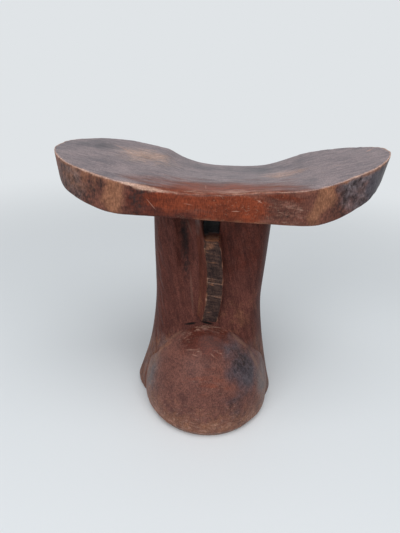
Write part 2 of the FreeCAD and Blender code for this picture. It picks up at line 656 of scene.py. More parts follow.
def even_faces(mesh: BMesh, size: float, cutters: Iterable[BMesh] = ()) -> BMesh:
    """Gives a closed shape small, even faces.

    Args:
        mesh: The shape, which is freed.
        size: Length of a face, in metres.
        cutters: Shapes that are cut away first, which are freed too.

    Returns:
        The shape with even faces.
    """
    made = [as_object("rough_shape", mesh)]
    for cutter in cutters:
        made.append(as_object("cutter", cutter))
        boolean = made[0].modifiers.new("cut", "BOOLEAN")
        boolean.object = made[-1]
        boolean.solver = "EXACT"
    remesh = made[0].modifiers.new("even faces", "REMESH")
    remesh.mode = "VOXEL"
    remesh.voxel_size = size
    finished = made[0].evaluated_get(bpy.context.evaluated_depsgraph_get())
    shaped = bpy.data.meshes.new_from_object(finished)
    even = bmesh.new()
    even.from_mesh(shaped)
    bpy.data.meshes.remove(shaped)
    for piece in made:
        bpy.data.meshes.remove(piece.data)
    return even


def as_object(name: str, mesh: BMesh) -> bpy.types.Object:
    """Puts a shape into the scene as an object at the origin.

    Args:
        name: The object's name.
        mesh: The shape, which is freed.

    Returns:
        The object.
    """
    data = bpy.data.meshes.new(name)
    mesh.to_mesh(data)
    mesh.free()
    data.shade_smooth()
    piece = bpy.data.objects.new(name, data)
    bpy.context.scene.collection.objects.link(piece)
    return piece


POST_FACE = 20.0 * MM
BASE_EDGE = 5.0 * MM
BASE_INSET = 4.0 * MM
DOME_RADIUS = 49.0 * MM
DOME_OFFSET = 1.0 * MM


@dataclass
class Member:
    """One carved member of the rest, which stands for its node of the model."""

    node: str
    finish: WoodFinish
    spots: tuple[Spot, ...] = ()
    post_face: float = POST_FACE

    def proud(self, place: Vector) -> float:
        """How far a place stands out from the post's face, in metres."""
        return abs(place.y) - self.post_face

    def shape(self) -> BMesh:
        """Models the member's form. Each member has its own."""
        raise NotImplementedError

    def relief(self, vert: BMVert) -> float:
        """How far the carving stands out at a vertex, in metres. Each member has its own."""
        raise NotImplementedError

    def stains(self, place: Vector, normal: Vector) -> dict[Stain, float]:
        """Stains that follow the member's form rather than a spot."""
        return {}

    def build(self, material: bpy.types.Material) -> None:
        """Models, carves, stains and dresses the member.

        Args:
            material: The finish's material.
        """
        mesh = self.shape()
        face_outwards(mesh)
        layers = {stain: mesh.verts.layers.float.new(stain.value) for stain in Stain}
        for vert in mesh.verts:
            shares = self.stains(vert.co, vert.normal)
            wander = drift(vert.co)
            for spot in self.spots:
                share = spot.share(vert.co, wander, vert.normal)
                shares[spot.stain] = max(shares.get(spot.stain, 0.0), share)
            for stain, share in shares.items():
                vert[layers[stain]] = share
        moves = [vert.normal * self.relief(vert) for vert in mesh.verts]
        for vert, move in zip(mesh.verts, moves):
            vert.co += move
            vert.co.z = max(0.0, vert.co.z)
        piece = as_object("carved_" + self.node, mesh)
        piece.data.materials.append(material)
        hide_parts(self.node)
        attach(piece, "root")
        LOG.info("%s: %d faces", piece.name, len(piece.data.polygons))


@dataclass(frozen=True)
class Wing:
    """One wing of the seat: its plan, and how its top and underside rise towards the tip."""

    side: float
    reach: float
    straight: float
    half_end: float
    back_end: float
    end_reach: float
    rise: float
    front_power: float
    back_power: float
    shoulder: float
    shoulder_at: float
    break_run: float
    break_power: float
    break_round: float
    fall_from: float
    fall_to: float
    under_rise: float
    under_power: float

    def corners(self, half_depth: float) -> list[tuple[float, float]]:
        """Corners of the wing's plan, from the front to the back.

        Args:
            half_depth: Half depth of the seat where its edges are straight.

        Returns:
            The corners, along the seat and across it.
        """
        side, out, tip = self.side, self.straight, self.reach
        front = [(side * out, -half_depth), (side * tip, -self.half_end)]
        return front + [(side * tip, self.back_end), (side * out, half_depth)]

    def shoulder_height(self, out: float) -> float:
        """Height of the shoulder on the back edge, which breaks off towards the middle.

        Args:
            out: Distance from the seat's middle.

        Returns:
            What the shoulder adds to the back edge there.
        """
        if out > self.shoulder_at:
            return self.shoulder * (1.0 - ease(self.fall_from, self.fall_to, out))
        return self.shoulder * max(0.0, 1.0 + (out - self.shoulder_at) / self.break_run) ** self.break_power


LEFT_WING = Wing(
    side=-1.0, reach=103.9 * MM, straight=60.0 * MM, half_end=28.6 * MM, back_end=30.8 * MM,
    end_reach=24.6 * MM, rise=13.6 * MM, front_power=1.95, back_power=1.25, shoulder=6.2 * MM,
    shoulder_at=37.6 * MM, break_run=27.0 * MM, break_power=2.3, break_round=1.0 * MM,
    fall_from=62.0 * MM, fall_to=134.0 * MM, under_rise=15.4 * MM, under_power=1.7,
)
RIGHT_WING = Wing(
    side=1.0, reach=104.4 * MM, straight=54.0 * MM, half_end=24.4 * MM, back_end=21.6 * MM,
    end_reach=20.4 * MM, rise=20.4 * MM, front_power=2.2, back_power=2.45, shoulder=6.7 * MM,
    shoulder_at=60.0 * MM, break_run=30.0 * MM, break_power=1.6, break_round=6.0 * MM,
    fall_from=74.0 * MM, fall_to=116.0 * MM, under_rise=23.2 * MM, under_power=1.95,
)


@dataclass(frozen=True)
class Rounding:
    """How use has rounded an arris: how far it reaches on each side, and along the seat."""

    upper: bool
    reach: float
    passes: int
    run: float


@dataclass
class Seat(Member):
    """The saddle seat: a thick slab whose two wings rise from a level middle."""

    left: Wing = LEFT_WING
    right: Wing = RIGHT_WING
    thickness: float = 16.0 * MM
    corner_reach: float = 12.0 * MM
    corner_segments: int = 6
    end_segments: int = 24
    back_wear: float = 1.6 * MM
    break_shares: tuple[float, ...] = (-1.0, -0.5, 0.0, 0.5, 1.0)
    under_from: float = 56.0 * MM
    tip_tuck: float = 1.6 * MM
    tip_from: float = 90.0 * MM
    sag: float = 0.7 * MM
    sagging: Ramp = Ramp(-40.0 * MM, 10.0 * MM)
    crown: float = 1.4 * MM
    crowned: Swell = Swell(30.0 * MM, 30.0 * MM)
    rub_depth: float = 1.45 * MM
    rub_reach: float = 7.0 * MM
    rubbed: Swell = Swell(-20.0 * MM, 34.0 * MM)
    round_at: float = 6.0 * MM
    roundings: tuple[Rounding, ...] = (
        Rounding(True, 2.2 * MM, 3, 110.0 * MM),
        Rounding(True, 3.5 * MM, 4, 66.0 * MM),
        Rounding(True, 5.0 * MM, 6, 52.0 * MM),
        Rounding(False, 3.0 * MM, 7, 110.0 * MM),
    )
    slice_width: float = 1.0 * MM
    rows_across: int = 80
    rows_up: int = 22
    hand_work: Wave = Wave((30.0, 30.0, 24.0), 0.28, 3.1)
    fine_work: Wave = Wave((9.0, 3.0, 4.0), 0.13, 8.7)
    nicks: Wave = Wave((4.0, 4.0, 4.0), 0.7, 1.7)
    nick_least: float = 0.1 * MM
    nick_reach: float = 1.2 * MM
    worn_width: float = 0.95 * MM
    worn: float = 0.9
    chipped: Swell = Swell(-40.0 * MM, 17.0 * MM)
    chip_width: float = 1.1 * MM
    chip_worn: float = 0.3
    sound: Swell = Swell(-10.0 * MM, 22.0 * MM)
    sound_loss: float = 0.5
    # Painted highlight on the rounded upper arris: its strength, the slope of the normal where it is
    # brightest, its width and reach.
    arris_highlight: float = 0.5
    highlight_slope: float = 0.74
    highlight_width: float = 0.14
    highlight_reach: float = 5.0 * MM
    level: Ramp = Ramp(0.35, 0.8)
    out_on_wing: Ramp = Ramp(0.4, 0.6)
    rim_bare: float = 0.66
    rim_bare_width: float = 3.0 * MM
    lower_bare: float = 0.6
    lower_bare_width: float = 2.2 * MM
    wing_loss: float = 0.25
    dark: Swell = Swell(-28.0 * MM, 34.0 * MM)
    dark_loss: float = 0.5
    handled: Swell = Swell(4.0 * MM, 100.0 * MM)
    handled_depth: float = 56.0 * MM
    handled_red: float = 0.76
    # Grey bloom on the level top, with a painted reflection of the pale surroundings, less on the handled
    # front.
    bloom_and_painted_reflection: float = 1.1
    bloom_and_reflection_loss: float = 1.05

    def __post_init__(self) -> None:
        """Takes the seat's box from the frame."""
        low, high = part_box(self.node)
        self.half_length = (high.x - low.x) / 2.0
        self.half_depth = (high.y - low.y) / 2.0
        self.underside = low.z
        self.edges = KDTree(0)

    def wing(self, x: float) -> Wing:
        """The wing that a place along the seat belongs to."""
        return self.right if x > 0.0 else self.left

    def front_height(self, x: float) -> float:
        """Height of the top along the front edge, which is fuller on the right of the middle.

        Args:
            x: Place along the seat.

        Returns:
            The height.
        """
        wing = self.wing(x)
        rise = wing.rise * (abs(x) / self.half_length) ** wing.front_power
        return self.underside + self.thickness + rise + self.crown * self.crowned.at(x)

    def back_height(self, x: float) -> float:
        """Height of the top along the back edge, which is worn in the middle.

        Args:
            x: Place along the seat.

        Returns:
            The height, with the wing's shoulder.
        """
        wing = self.wing(x)
        level = self.underside + self.thickness - self.back_wear
        rise = (wing.rise + self.back_wear) * (abs(x) / self.half_length) ** wing.back_power
        outs = [abs(x) + wing.break_round * share for share in self.break_shares]
        return level + rise + sum(wing.shoulder_height(out) for out in outs) / len(outs)

    def top(self, x: float, y: float) -> float:
        """Height of the top at a place, with the front edge rubbed down left of the middle.

        Args:
            x: Place along the seat.
            y: Place across it.

        Returns:
            The height.
        """
        from_front = y + self.half_depth
        share = from_front / (2.0 * self.half_depth)
        height = self.front_height(x) * (1.0 - share) + self.back_height(x) * share
        near_front = max(0.0, 1.0 - from_front / self.rub_reach) ** 2
        return height - self.rub_depth * self.rubbed.at(x) * near_front

    def under(self, x: float) -> float:
        """Height of the underside: level over the post, then turned up to the tips.

        Args:
            x: Place along the seat.

        Returns:
            The height.
        """
        past = max(0.0, abs(x) - self.under_from) / (self.half_length - self.under_from)
        sag = self.sag * self.sagging.at(x) * max(0.0, 1.0 - past)
        wing = self.wing(x)
        return self.underside - sag + wing.under_rise * past ** wing.under_power

    def shape(self) -> BMesh:
        """Models the slab from its outline and bends it into the saddle.

        Returns:
            The seat with even faces and rounded arrises.
        """
        mesh = bmesh.new()
        corners = self.right.corners(self.half_depth) + self.left.corners(self.half_depth)[::-1]
        mesh.faces.new([mesh.verts.new((x, y, 0.0)) for x, y in corners])
        for wing in (self.left, self.right):
            self.round_corners(mesh, wing.side * wing.straight, self.corner_reach, self.corner_segments)
            self.round_corners(mesh, wing.side * wing.reach, wing.end_reach, self.end_segments)
        self.slice_across(mesh)
        raised = bmesh.ops.extrude_face_region(mesh, geom=mesh.faces[:])
        tops = [item for item in raised["geom"] if isinstance(item, BMVert)]
        bmesh.ops.translate(mesh, verts=tops, vec=(0.0, 0.0, 1.0))
        bmesh.ops.subdivide_edges(mesh, edges=edges_along(mesh, 2), cuts=self.rows_up, use_grid_fill=True)
        for vert in mesh.verts:
            x, y, share = vert.co
            low = self.under(x)
            tuck = self.tip_tuck * (1.0 - share) * ease(self.tip_from, self.half_length, abs(x))
            vert.co = (x - math.copysign(tuck, x), y, low + share * (self.top(x, y) - low))
        face_outwards(mesh)
        self.edges = nearest(vert.co for edge in sharp_edges(mesh) for vert in edge.verts)
        self.wear_round(mesh)
        return mesh

    def round_corners(self, mesh: BMesh, x: float, reach: float, segments: int) -> None:
        """Rounds the corners of the flat outline at a place along the seat.

        Args:
            mesh: The outline as one face.
            x: Place of the corners along the seat.
            reach: How far the rounding reaches.
            segments: How many edges it gets.
        """
        bmesh.ops.bevel(
            mesh, geom=[vert for vert in mesh.verts if abs(vert.co.x - x) < TOUCHING],
            offset=reach, offset_type="OFFSET", affect="VERTICES",
            segments=segments, profile=0.5, material=-1,
        )

    def slice_across(self, mesh: BMesh) -> None:
        """Cuts the flat outline into narrow slices across the seat and these into rows.

        Args:
            mesh: The outline as one face.
        """
        stops = sorted({round(vert.co.x, DECIMALS) for vert in mesh.verts})
        for near, far in zip(stops, stops[1:]):
            count = max(1, round((far - near) / self.slice_width))
            for step in range(count):
                cut(mesh, (near + (far - near) * step / count, 0.0, 0.0), (1.0, 0.0, 0.0))
        lengthwise = set(edges_along(mesh, 0))
        across = [edge for edge in mesh.edges if edge not in lengthwise]
        bmesh.ops.subdivide_edges(mesh, edges=across, cuts=self.rows_across, use_grid_fill=True)

    def is_upper(self, place: Vector) -> bool:
        """Whether a place is in the upper half of the slab."""
        return place.z > (self.under(place.x) + self.top(place.x, place.y)) / 2.0

    def wear_round(self, mesh: BMesh) -> None:
        """Rounds the arrises as use does, most in the middle of the seat.

        Args:
            mesh: The seat with sharp arrises.
        """
        edges = [(vert, self.edges.find(vert.co)[2], self.is_upper(vert.co)) for vert in mesh.verts]
        for rounding in self.roundings:
            near = [
                vert for vert, away, upper in edges
                if upper is rounding.upper and away < rounding.reach
                and abs(vert.co.x - self.round_at) < rounding.run
            ]
            soften(mesh, near, rounding.passes)
        mesh.normal_update()

    def relief(self, vert: BMVert) -> float:
        """Uneven hand work, with nicks along the arrises."""
        edge = bell(self.edges.find(vert.co)[2], self.nick_reach)
        nick = max(0.0, self.nicks.at(vert.co) - self.nick_least)
        return self.hand_work.at(vert.co) + self.fine_work.at(vert.co) - edge * nick

    def worn_and_highlit_arris(self, place: Vector, normal: Vector) -> float:
        """How pale the upper arris is rubbed, with a painted highlight where its rounding slopes up at
        about 42 degrees.

        Args:
            place: Where to read it.
            normal: The surface's normal there.

        Returns:
            The share of worn wood, most where the arris is chipped, and of the painted highlight.
        """
        away = self.edges.find(place)[2]
        chipped = self.chipped.at(place.x)
        loss = self.sound_loss * self.sound.at(place.x)
        line = self.worn + self.chip_worn * chipped - loss
        line *= bell(away, self.worn_width + self.chip_width * chipped)
        # Painted highlight where the rounded arris slopes up at about 42 degrees.
        arris_highlight = self.arris_highlight * (1.0 - loss) * bell(normal.z - self.highlight_slope, self.highlight_width)
        return max(line, arris_highlight) if away < self.highlight_reach else 0.0

    def stains(self, place: Vector, normal: Vector) -> dict[Stain, float]:
        """Worn arrises with a painted highlight, bare wood beside them, the grey bloom on the top with a
        painted reflection, and its handled front.

        Args:
            place: Where to read them.
            normal: The surface's normal there.

        Returns:
            A share for each stain.
        """
        away = self.edges.find(place)[2]
        level = self.level.at(normal.z)
        wing = self.out_on_wing.at(abs(place.x) / self.half_length)
        handled = hump(place.y + self.half_depth, self.handled_depth) * self.handled.at(place.x)
        shares = {
            # Bloom and a painted reflection on the level top.
            Stain.BLOOM: level * (self.bloom_and_painted_reflection - self.bloom_and_reflection_loss * handled),
            Stain.RUBBED: level * self.handled_red * handled,
        }
        if self.is_upper(place):
            beside = bell(away, self.rim_bare_width) * (1.0 - level)
            shares[Stain.BARE_AND_PAINTED_LIGHT] = self.rim_bare * beside * wing
            shares[Stain.WORN_AND_PAINTED_LIGHT] = self.worn_and_highlit_arris(place, normal)
        else:
            loss = self.wing_loss * wing + self.dark_loss * self.dark.at(place.x)
            shares[Stain.BARE_AND_PAINTED_LIGHT] = (self.lower_bare - loss) * bell(away, self.lower_bare_width)
        return shares


@dataclass
class Post(Member):
    """The slab post, which flares into an ear at each side of its base."""

    middle: float = -1.4 * MM
    half_top: float = 40.75 * MM
    half_waist: float = 39.3 * MM
    half_thickness: float = POST_FACE
    half_span: float = 55.7 * MM
    flare_height: float = 95.0 * MM
    flare_power: float = 1.75
    side_round: float = 13.0 * MM
    side_segments: int = 9
    ear_round: float = 27.0 * MM
    base_edge: float = BASE_EDGE
    base_inset: float = BASE_INSET
    hole_width: float = 11.0 * MM
    hole_height: float = 17.5 * MM
    dome_radius: float = DOME_RADIUS
    dome_height: float = 76.0 * MM
    dome_forward: float = 11.0 * MM
    dome_offset: float = DOME_OFFSET
    right_ear: float = 3.2 * MM
    lean: float = 0.9 * MM
    leaning: Swell = Swell(45.0 * MM, 48.0 * MM)
    sweep_left: float = 2.6 * MM
    sweep_right: float = 1.7 * MM
    sweep_reach: float = 4.5 * MM
    sweep_most: float = 0.9
    sweep_up: Ramp = Ramp(30.0 * MM, 56.0 * MM)
    valley_depth: float = 4.2 * MM
    valley_reach: float = 8.5 * MM
    valley_at: float = -19.4 * MM
    valley_head: float = 150.0 * MM
    valley_lean: float = 0.06
    valley_up: Ramp = Ramp(92.0 * MM, 124.0 * MM)
    valley_core: Swell = Swell(139.0 * MM, 30.0 * MM)
    hollow: Swell = Swell(22.0 * MM, 17.0 * MM)
    hollow_depth: float = 1.0 * MM
    hollow_up: Ramp = Ramp(60.0 * MM, 100.0 * MM)
    facing: Ramp = Ramp(0.3, 0.9)
    smooth: Ramp = Ramp(-20.0 * MM, -8.0 * MM)
    smooth_share: float = 0.12
    knife_slant: float = 0.3
    knife: Wave = Wave((4.4, 9.0, 22.0), 0.8, 2.3)
    knife_fine: Wave = Wave((2.2, 5.0, 9.0), 0.6, 5.9)
    hand_work: Wave = Wave((22.0, 22.0, 30.0), 0.25, 4.4)
    sunk_into_seat: float = 2.0 * MM
    levels: int = 44
    face_size: float = 0.75 * MM
    # Painted shade on the walls of the hole: grey and black.
    hole_painted_shade_grey: float = 1.5
    hole_painted_shade_dark: float = 0.58
    # Painted shade of the valley's groove, with soot.
    valley_shade_and_soot: float = 0.66
    valley_burnt_and_shade: float = 0.54
    # Painted light: the post is paler towards its foot, as lit where it flares, with grey dust too.
    above_foot: Ramp = Ramp(40.0 * MM, 96.0 * MM)
    low_painted_light: float = 0.44
    foot_dust: float = 0.42
    oiled: float = 0.5
    oiled_right: Ramp = Ramp(-20.0 * MM, 8.0 * MM)
    oiled_up: Ramp = Ramp(96.0 * MM, 124.0 * MM)

    def __post_init__(self) -> None:
        """Takes the post's height from the frame."""
        self.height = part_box(self.node)[1].z

    def widths(self, z: float) -> tuple[float, float]:
        """Half width of the slab and the length of its round side at a height.

        Args:
            z: The height.

        Returns:
            Both lengths.
        """
        if z > self.flare_height:
            share = (z - self.flare_height) / (self.height - self.flare_height)
            return self.half_waist + (self.half_top - self.half_waist) * share, self.side_round
        share = min(1.0, (self.flare_height - z) / (self.flare_height - self.base_edge))
        opening = share ** self.flare_power
        inset = self.base_inset * max(0.0, 1.0 - z / self.base_edge)
        half = self.half_waist + (self.half_span - self.half_waist) * opening - inset
        return half, self.side_round + (self.ear_round - self.side_round) * opening

    def shape(self) -> BMesh:
        """Models the slab, flares it and cuts the hole through it.

        Returns:
            The post with small even faces.
        """
        mesh = bmesh.new()
        bmesh.ops.create_cube(mesh, size=2.0)
        top = self.height + self.sunk_into_seat
        bmesh.ops.scale(mesh, verts=mesh.verts[:], vec=(self.half_waist, self.side_round, top / 2.0))
        bmesh.ops.translate(mesh, verts=mesh.verts[:], vec=(0.0, 0.0, top / 2.0))
        bmesh.ops.bevel(
            mesh, geom=edges_along(mesh, 2), offset=self.side_round * ALMOST, offset_type="OFFSET",
            affect="EDGES", segments=self.side_segments, profile=0.5, material=-1,
        )
        for level in range(1, self.levels):
            cut(mesh, (0.0, 0.0, top * level / self.levels), (0.0, 0.0, 1.0))
        self.flare(mesh)
        even = even_faces(mesh, self.face_size, [self.hole()])
        soften(even, even.verts[:])
        return even

    def flare(self, mesh: BMesh) -> None:
        """Widens the straight slab to its widths at each height, with the right ear and the lean.

        Args:
            mesh: The slab, as wide as the waist.
        """
        flat = self.half_waist - self.side_round
        for vert in mesh.verts:
            half, side = self.widths(vert.co.z)
            past = max(0.0, abs(vert.co.x) - flat)
            reach = min(abs(vert.co.x), flat) * (half - side) / flat + past * side / self.side_round
            if vert.co.x > 0.0:
                reach += self.right_ear * max(0.0, 1.0 - vert.co.z / self.base_edge)
            lean = self.lean * self.leaning.at(vert.co.z)
            vert.co.x = self.middle + lean + math.copysign(reach, vert.co.x)
            vert.co.y *= self.half_thickness / self.side_round

    def hole(self) -> BMesh:
        """The square hole under the seat, as the shape to cut away."""
        mesh = bmesh.new()
        bmesh.ops.create_cube(mesh, size=1.0)
        size = (self.hole_width, 4.0 * self.half_thickness, 2.0 * self.hole_height)
        bmesh.ops.scale(mesh, verts=mesh.verts[:], vec=size)
        bmesh.ops.translate(mesh, verts=mesh.verts[:], vec=(self.middle, 0.0, self.height))
        return mesh

    def above_dome(self, place: Vector) -> float:
        """How far a place lies outside the dome of its foot, in metres."""
        up = (place.z - self.base_edge) / (self.dome_height - self.base_edge)
        deep = (abs(place.y) - self.dome_forward) / self.dome_radius
        across = (place.x - self.dome_offset) / self.dome_radius
        return (Vector((across, deep, max(0.0, up))).length - 1.0) * self.dome_radius

    def valley(self, place: Vector) -> float:
        """Share of the valley beside the rib at a place, on either face."""
        middle = self.valley_at + (self.valley_head - place.z) * self.valley_lean
        return hump(place.x - middle, self.valley_reach) * self.valley_up.at(place.z)

    def relief(self, vert: BMVert) -> float:
        """Knife work on the left of each face, a smooth hollow on the right, and the valley.

        Args:
            vert: The vertex.

        Returns:
            How far it stands out. The face sweeps out to meet the dome.
        """
        place = vert.co
        right = self.smooth.at(place.x)
        slanted = Vector((place.x + self.knife_slant * place.z, place.y, place.z))
        knife = self.knife.at(slanted) + self.knife_fine.at(slanted)
        sweep = self.sweep_left + (self.sweep_right - self.sweep_left) * right
        most = self.sweep_most * self.sweep_up.at(place.z)
        face = sweep * fillet(self.above_dome(place), self.sweep_reach, most)
        face -= self.hollow_depth * self.hollow.at(place.x) * self.hollow_up.at(place.z)
        face += knife * (1.0 - (1.0 - self.smooth_share) * right)
        face -= self.valley_depth * self.valley(place)
        return self.hand_work.at(place) + self.facing.at(abs(vert.normal.y)) * face

    def in_hole(self, place: Vector) -> bool:
        """Whether a place is on the walls of the hole."""
        across = abs(place.x - self.middle) < self.hole_width / 2.0 + self.face_size
        deep = abs(place.y) < self.half_thickness - self.face_size
        return across and deep and place.z > self.height - self.hole_height - self.face_size

    def stains(self, place: Vector, normal: Vector) -> dict[Stain, float]:
        """Painted shade in the hole, painted shade and soot in the valley, the oiled right, and the lower
        post painted paler as lit, with dust.

        Args:
            place: Where to read them.
            normal: The surface's normal there.

        Returns:
            A share for each stain.
        """
        valley = self.valley(place)
        low = 1.0 - self.above_foot.at(place.z)
        shares = {
            # The valley: painted shade of its groove, with soot.
            Stain.SOOT_AND_PAINTED_SHADE: self.valley_shade_and_soot * self.valley_core.at(place.z) * valley ** 2,
            Stain.BURNT_AND_PAINTED_SHADE: self.valley_burnt_and_shade * valley,
            # Painted light: paler towards the foot, as lit where the post flares.
            Stain.BARE_AND_PAINTED_LIGHT: self.low_painted_light * low,
            Stain.DUST: self.foot_dust * low,
            Stain.OILED: self.oiled * self.oiled_right.at(place.x) * self.oiled_up.at(place.z),
        }
        # Painted shade: the hole's walls are painted dark.
        if self.in_hole(place):
            shares[Stain.SOOT_AND_PAINTED_SHADE] = self.hole_painted_shade_dark
            shares[Stain.SMOKE_AND_PAINTED_SHADE] = self.hole_painted_shade_grey
        return shares


@dataclass
class Foot(Member):
    """A domed foot: the half of a tall dome that stands clear of the post."""

    radius: float = DOME_RADIUS
    offset: float = DOME_OFFSET
    base_edge: float = BASE_EDGE
    base_inset: float = BASE_INSET
    side: float = -1.0
    rows_up: int = 100
    rows_round: int = 340
    facets: Wave = Wave((17.0, 17.0, 20.0), 0.55, 6.2)
    dents: Wave = Wave((6.0, 6.0, 6.0), 0.2, 9.4)
    torn: Wave = Wave((3.2, 3.2, 2.4), 0.7, 4.8)
    smooth_back: float = 1.0 * MM
    underside_facing: float = -0.9
    crown_up: Ramp = Ramp(52.0 * MM, 64.0 * MM)
    crown_run: float = 30.0 * MM
    crown_reach: float = 9.0 * MM
    crown_worn: float = 0.42
    band: Ramp = Ramp(0.3, 0.6)
    band_width: float = 12.0 * MM
    band_bare: float = 0.5
    # Painted light: the lower dome is paler, as lit by light off the floor.
    floor_light_top: float = 46.0 * MM
    floor_light_tan: float = 0.55
    floor_light_cream: float = 0.3
    # Paler at the very bottom edge.
    bottom_edge_pale: float = 0.4
    tuck: float = 2.1 * MM
    tuck_height: float = 22.0 * MM

    def __post_init__(self) -> None:
        """Takes the dome's height and place from the frame."""
        low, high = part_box(self.node)
        self.height = high.z
        self.forward = max(-low.y, high.y) - self.radius

    def shape(self) -> BMesh:
        """Turns the dome from its profile and cuts it at the middle of the post.

        Returns:
            The half dome, closed where it is sunk into the post.
        """
        mesh = bmesh.new()
        pole = mesh.verts.new((0.0, 0.0, 1.0))
        bmesh.ops.spin(
            mesh, geom=[pole], cent=(0.0, 0.0, 0.0), axis=(0.0, 1.0, 0.0),
            angle=math.pi / 2.0, steps=self.rows_up,
        )
        bmesh.ops.scale(mesh, verts=mesh.verts[:], vec=(self.radius, 1.0, self.height - self.base_edge))
        bmesh.ops.translate(mesh, verts=mesh.verts[:], vec=(0.0, 0.0, self.base_edge))
        rim = min(mesh.verts, key=lambda vert: vert.co.z)
        foot = mesh.verts.new((self.radius - self.base_inset, 0.0, 0.0))
        middle = mesh.verts.new((0.0, 0.0, 0.0))
        mesh.edges.new((rim, foot))
        mesh.edges.new((foot, middle))
        bmesh.ops.spin(
            mesh, geom=mesh.verts[:] + mesh.edges[:], cent=(0.0, 0.0, 0.0), axis=(0.0, 0.0, 1.0),
            angle=2.0 * math.pi, steps=self.rows_round, use_merge=True,
        )
        bmesh.ops.remove_doubles(mesh, verts=mesh.verts[:], dist=TOUCHING)
        bmesh.ops.translate(mesh, verts=mesh.verts[:], vec=(self.offset, self.side * self.forward, 0.0))
        cut(mesh, (0.0, 0.0, 0.0), (0.0, -self.side, 0.0), cut_off=True)
        open_edges = [edge for edge in mesh.edges if edge.is_boundary]
        bmesh.ops.contextual_create(mesh, geom=open_edges)
        return mesh

    def crown(self, place: Vector) -> float:
        """Share of the rough crown of the dome, where it runs up to the rib."""
        near_post = bell(self.proud(place), self.crown_reach)
        return hump(place.x, self.crown_run) * near_post * self.crown_up.at(place.z)

    def relief(self, vert: BMVert) -> float:
        """Soft facets from the carving, torn grain on the crown and a level underside.

        Args:
            vert: The vertex.

        Returns:
            How far it stands out. The front is rolled under at the table.
        """
        place = vert.co
        if abs(place.y) < self.smooth_back or vert.normal.z < self.underside_facing:
            return 0.0
        ahead = ease(0.0, 1.0, (abs(place.y) - self.forward) / self.radius)
        tuck = self.tuck * ahead * max(0.0, 1.0 - place.z / self.tuck_height) ** 2
        carved = self.facets.at(place) + self.dents.at(place) + self.crown(place) * self.torn.at(place)
        return carved - tuck

    def stains(self, place: Vector, normal: Vector) -> dict[Stain, float]:
        """The flecked crown, the tan band on the left, the lower dome painted paler as lit by light off the
        floor, and a paler band at the very bottom.

        Args:
            place: Where to read them.
            normal: The surface's normal there.

        Returns:
            A share for each stain.
        """
        left = self.band.at(-place.x / self.radius) * bell(self.proud(place), self.band_width)
        # Painted light off the floor: paler towards the bottom.
        low = 1.0 - ease(self.base_edge, self.floor_light_top, place.z)
        # Paler band at the very bottom edge.
        edge = 1.0 - ease(self.base_inset / 2.0, 2.0 * self.base_inset, place.z)
        crown = self.crown(place)
        return {
            Stain.BARE_AND_PAINTED_LIGHT: max(self.band_bare * left, self.floor_light_tan * low),
            Stain.WORN_AND_PAINTED_LIGHT: max(self.crown_worn * crown, self.bottom_edge_pale * edge, self.floor_light_cream * low),
        }


